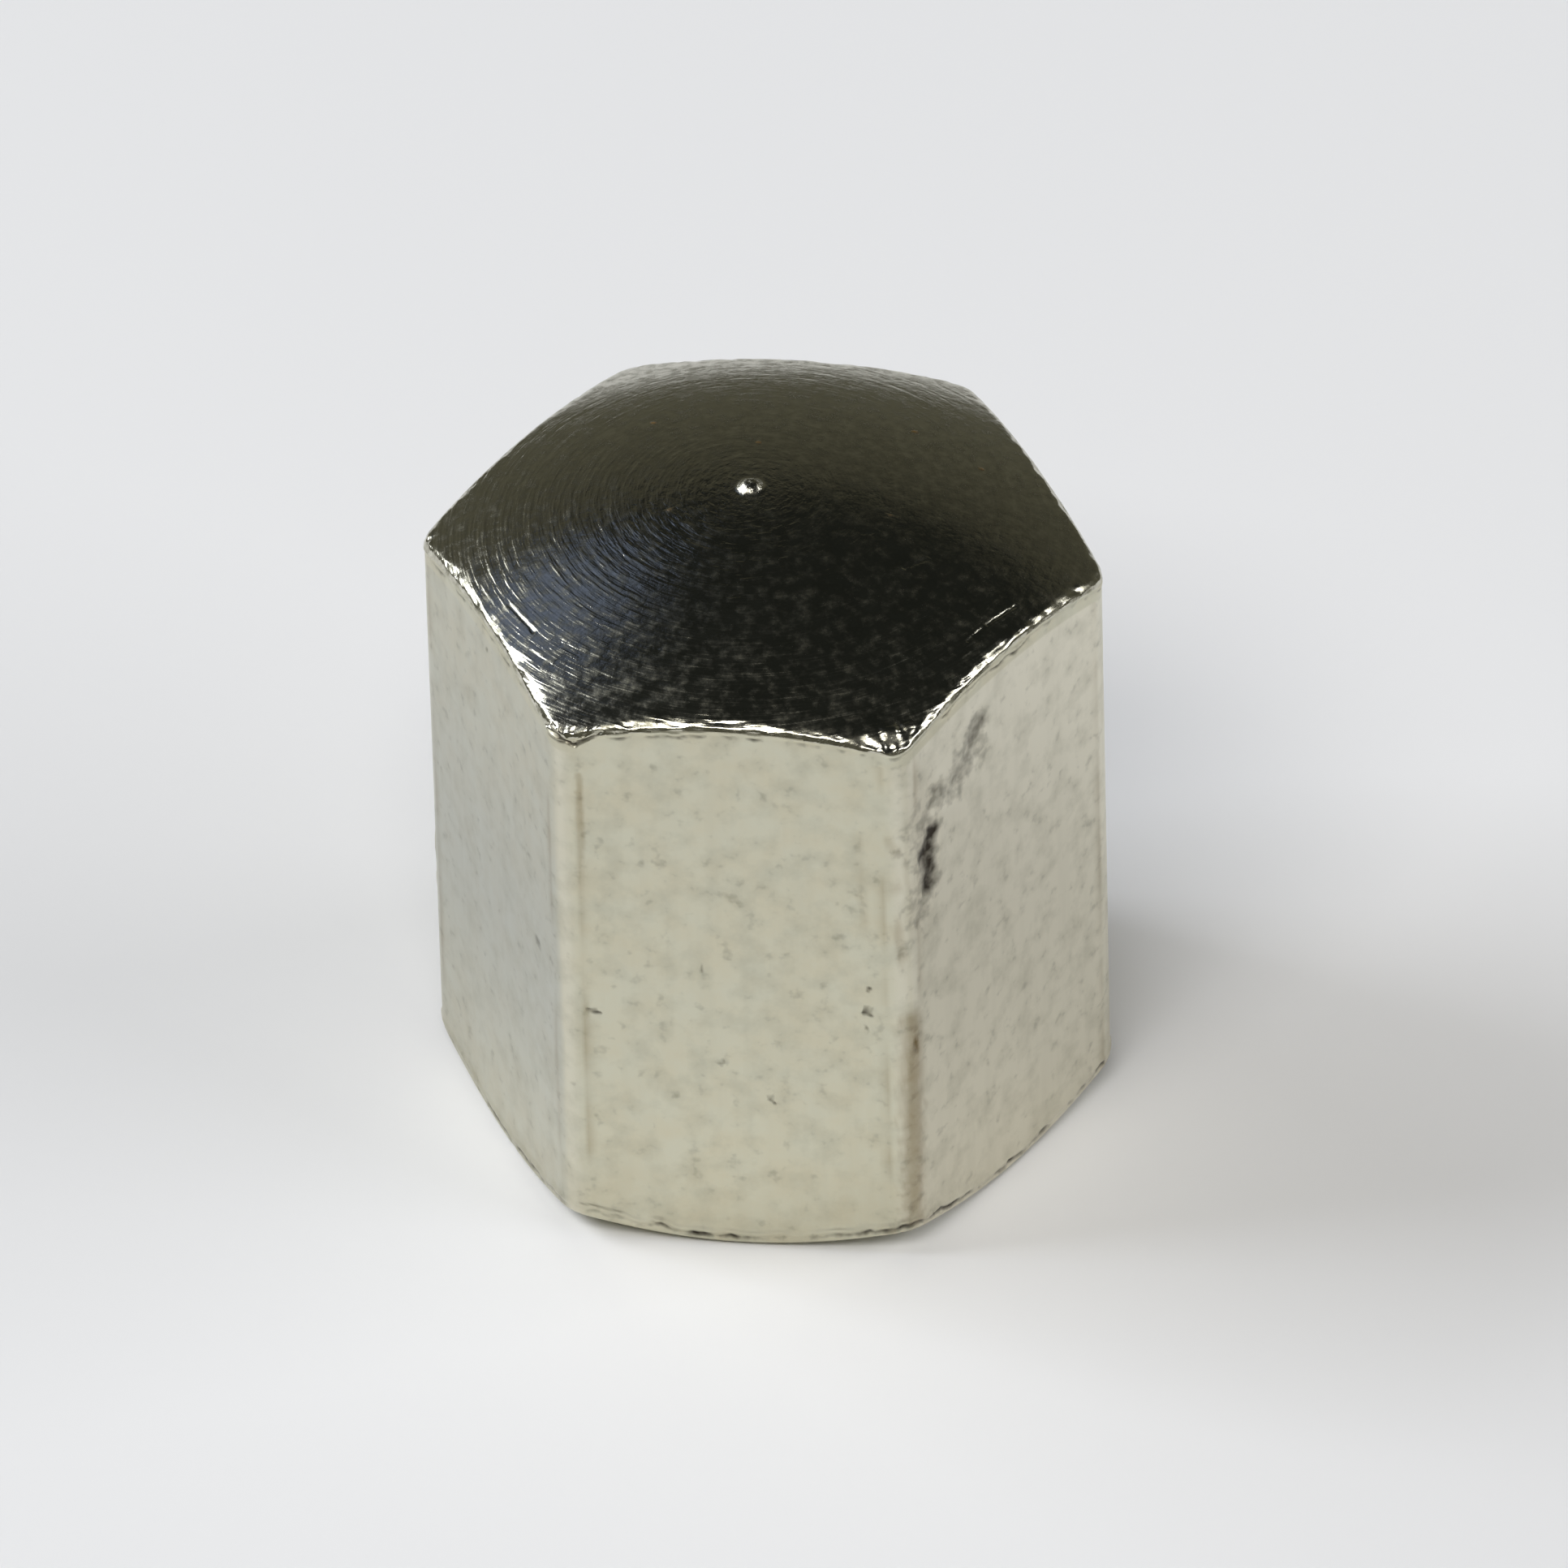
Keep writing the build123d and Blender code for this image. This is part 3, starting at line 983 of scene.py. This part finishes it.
def tapped_steel(finish):
    """Bare steel of the tapped hole."""
    material, add = new_material("bare_tapped_steel")

    # Cut steel that the plate hardly reached: dull and darker, in patches half a millimetre across
    place = add("ShaderNodeTexCoord", output="Object")
    patches = add("ShaderNodeTexNoise", links={"Vector": place, "Scale": 1 / (0.5 * MM), "Detail": 4.0})
    colour = add("ShaderNodeMix", RGBA, {
        0: patches, FROM: rgba(finish.bare_steel), TO: rgba(finish.grime_and_shade),
    }, MIXED)
    shader = add("ShaderNodeBsdfPrincipled", links={
        "Base Color": colour, "Metallic": 1.0, "Roughness": 0.4,
    })
    add("ShaderNodeOutputMaterial", links={"Surface": shader})
    return material


def floor_board(stage):
    """Pale matt board under the nut."""
    material, add = new_material("pale_matt_board")

    # Painted board, so matt that the eye sees only its colour and the shadow on it
    shader = add("ShaderNodeBsdfPrincipled", links={
        "Base Color": rgba(stage.floor_colour), "Roughness": 0.8,
    })
    add("ShaderNodeOutputMaterial", links={"Surface": shader})
    return material


class CAPNUT_OT_nut(bpy.types.Operator):
    """Model the nut: hexagon bar, turned crown, tapped hole and wear"""

    bl_idname = "cap_nut.nut"
    bl_label = "Cap nut"

    def execute(self, context):
        settings = context.scene.cap_nut
        mesh = build_nut(in_millimetres(settings.body), in_millimetres(settings.hole))
        for material in (satin_nickel, turned_nickel, tapped_steel):
            mesh.materials.append(material(settings.finish))
        nut = bpy.data.objects.new("cap_nut_metal", mesh)
        context.scene.collection.objects.link(nut)
        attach(nut, "root")
        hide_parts(NODE)
        return {"FINISHED"}


def direction(azimuth, elevation):
    """Direction from the nut towards something at that azimuth from straight in front."""
    level = math.cos(elevation)
    return Vector((math.sin(azimuth) * level, -math.cos(azimuth) * level, math.sin(elevation)))


def add_lamp(lamp):
    """Softbox that points at the nut."""
    light = bpy.data.lights.new(lamp.name, "AREA")
    light.shape = "RECTANGLE"
    light.size = lamp.width
    light.size_y = lamp.height
    light.energy = lamp.power
    light.color = linear(lamp.tint)
    holder = bpy.data.objects.new(lamp.name, light)
    away = direction(math.radians(lamp.azimuth), math.radians(lamp.elevation))
    holder.location = away * lamp.distance
    holder.rotation_euler = away.to_track_quat("Z", "Y").to_euler()
    bpy.context.scene.collection.objects.link(holder)


def add_camera(stage, middle):
    """Camera at the photograph's angle, with the frame that it covers at the nut."""
    away = direction(stage.view_azimuth, stage.view_elevation)
    right = Vector((0, 0, 1)).cross(away).normalized()
    up = away.cross(right)
    roll = Matrix.Rotation(stage.view_roll, 3, away)
    right = roll @ right
    up = roll @ up
    data = bpy.data.cameras.new("camera")
    data.sensor_width = SENSOR_WIDTH
    data.lens = data.sensor_width * stage.view_distance / stage.view_width
    data.clip_start = SEES_FROM
    data.clip_end = SEES_TO
    camera = bpy.data.objects.new("camera", data)
    spot = middle + away * stage.view_distance + right * stage.view_right + up * stage.view_up
    camera.matrix_world = Matrix.Translation(spot) @ Matrix((right, up, away)).transposed().to_4x4()
    bpy.context.scene.collection.objects.link(camera)
    bpy.context.scene.camera = camera


def set_room(stage):
    """Plain dim room, which lights the nut a little and which the crown mirrors."""
    room = bpy.data.worlds.new("room")
    bpy.context.scene.world = room
    room.use_nodes = True
    room.node_tree.nodes.clear()
    add = partial(add_node, room.node_tree)

    # An olive wall ends at the height that the middle of the crown mirrors, with a dark ceiling
    # over it. A soft cool gleam on the ceiling, at the left and behind, shows in the crown's rings.
    sight = add("ShaderNodeTexCoord", output="Generated")
    height = add("ShaderNodeSeparateXYZ", links={0: sight}, output="Z")
    above = add("ShaderNodeMapRange", links={
        "Value": height, "From Min": WALL_ENDS, "From Max": CEILING_STARTS,
    })
    towards = add("ShaderNodeVectorMath", {"operation": "DOT_PRODUCT"}, {
        0: sight, 1: direction(GLEAM_AZIMUTH, GLEAM_ELEVATION),
    }, "Value")
    gleam = add("ShaderNodeMapRange", links={
        "Value": towards, "From Min": math.cos(GLEAM_SPREAD), "From Max": 1.0,
    })
    ceiling = add("ShaderNodeMix", RGBA, {
        0: gleam, FROM: rgba(stage.ceiling_colour), TO: rgba(stage.gleam_colour),
    }, MIXED)
    risen = add("ShaderNodeMapRange", links={
        "Value": height, "From Min": WALL_DARKENS, "From Max": WALL_ENDS,
    })
    wall = add("ShaderNodeMix", RGBA, {
        0: risen, FROM: rgba(stage.wall_colour), TO: rgba(stage.wall_top_colour),
    }, MIXED)
    colour = add("ShaderNodeMix", RGBA, {0: above, FROM: wall, TO: ceiling}, MIXED)
    background = add("ShaderNodeBackground", links={"Color": colour, "Strength": 1.0})
    add("ShaderNodeOutputWorld", links={"Surface": background})


class CAPNUT_OT_stage(bpy.types.Operator):
    """Set up the floor, lamps, room and camera"""

    bl_idname = "cap_nut.stage"
    bl_label = "Studio"

    def execute(self, context):
        stage = context.scene.cap_nut.stage
        bm = bmesh.new()
        bmesh.ops.create_grid(bm, x_segments=1, y_segments=1, size=FLOOR_HALF_WIDTH)
        mesh = bpy.data.meshes.new("floor")
        bm.to_mesh(mesh)
        bm.free()
        mesh.materials.append(floor_board(stage))
        floor = bpy.data.objects.new("floor", mesh)
        context.scene.collection.objects.link(floor)
        add_camera(stage, Vector((0, 0, (LOWEST[2] + HIGHEST[2]) / 2)))
        for lamp in LAMPS:
            add_lamp(lamp)
        set_room(stage)
        context.scene.view_settings.view_transform = "Standard"
        return {"FINISHED"}


class Settings(bpy.types.PropertyGroup):
    """Everything that the panel shows."""

    body: PointerProperty(type=BodySizes)
    hole: PointerProperty(type=HoleSizes)
    finish: PointerProperty(type=Finish)
    stage: PointerProperty(type=Stage)


class CAPNUT_PT_panel(bpy.types.Panel):
    """Lists what the add-on makes, with its settings"""

    bl_idname = "CAPNUT_PT_panel"
    bl_label = "Cap nut"
    bl_space_type = "VIEW_3D"
    bl_region_type = "UI"
    bl_category = "Cap nut"

    def draw(self, context):
        settings = context.scene.cap_nut
        for group in (settings.body, settings.hole, settings.finish, settings.stage):
            box = self.layout.box()
            for name in group.__annotations__:
                box.prop(group, name)
        self.layout.operator(CAPNUT_OT_nut.bl_idname)
        self.layout.operator(CAPNUT_OT_stage.bl_idname)


CLASSES = (
    BodySizes, HoleSizes, Finish, Stage, Settings, CAPNUT_OT_nut, CAPNUT_OT_stage, CAPNUT_PT_panel,
)


def register():
    """Adds the settings, operators and panel."""
    for item in CLASSES:
        bpy.utils.register_class(item)
    bpy.types.Scene.cap_nut = PointerProperty(type=Settings)


def unregister():
    """Takes them away again."""
    del bpy.types.Scene.cap_nut
    for item in reversed(CLASSES):
        bpy.utils.unregister_class(item)


def main():
    """Makes the nut and its studio."""
    register()
    bpy.ops.cap_nut.nut()
    bpy.ops.cap_nut.stage()


if __name__ == "__main__":
    main()
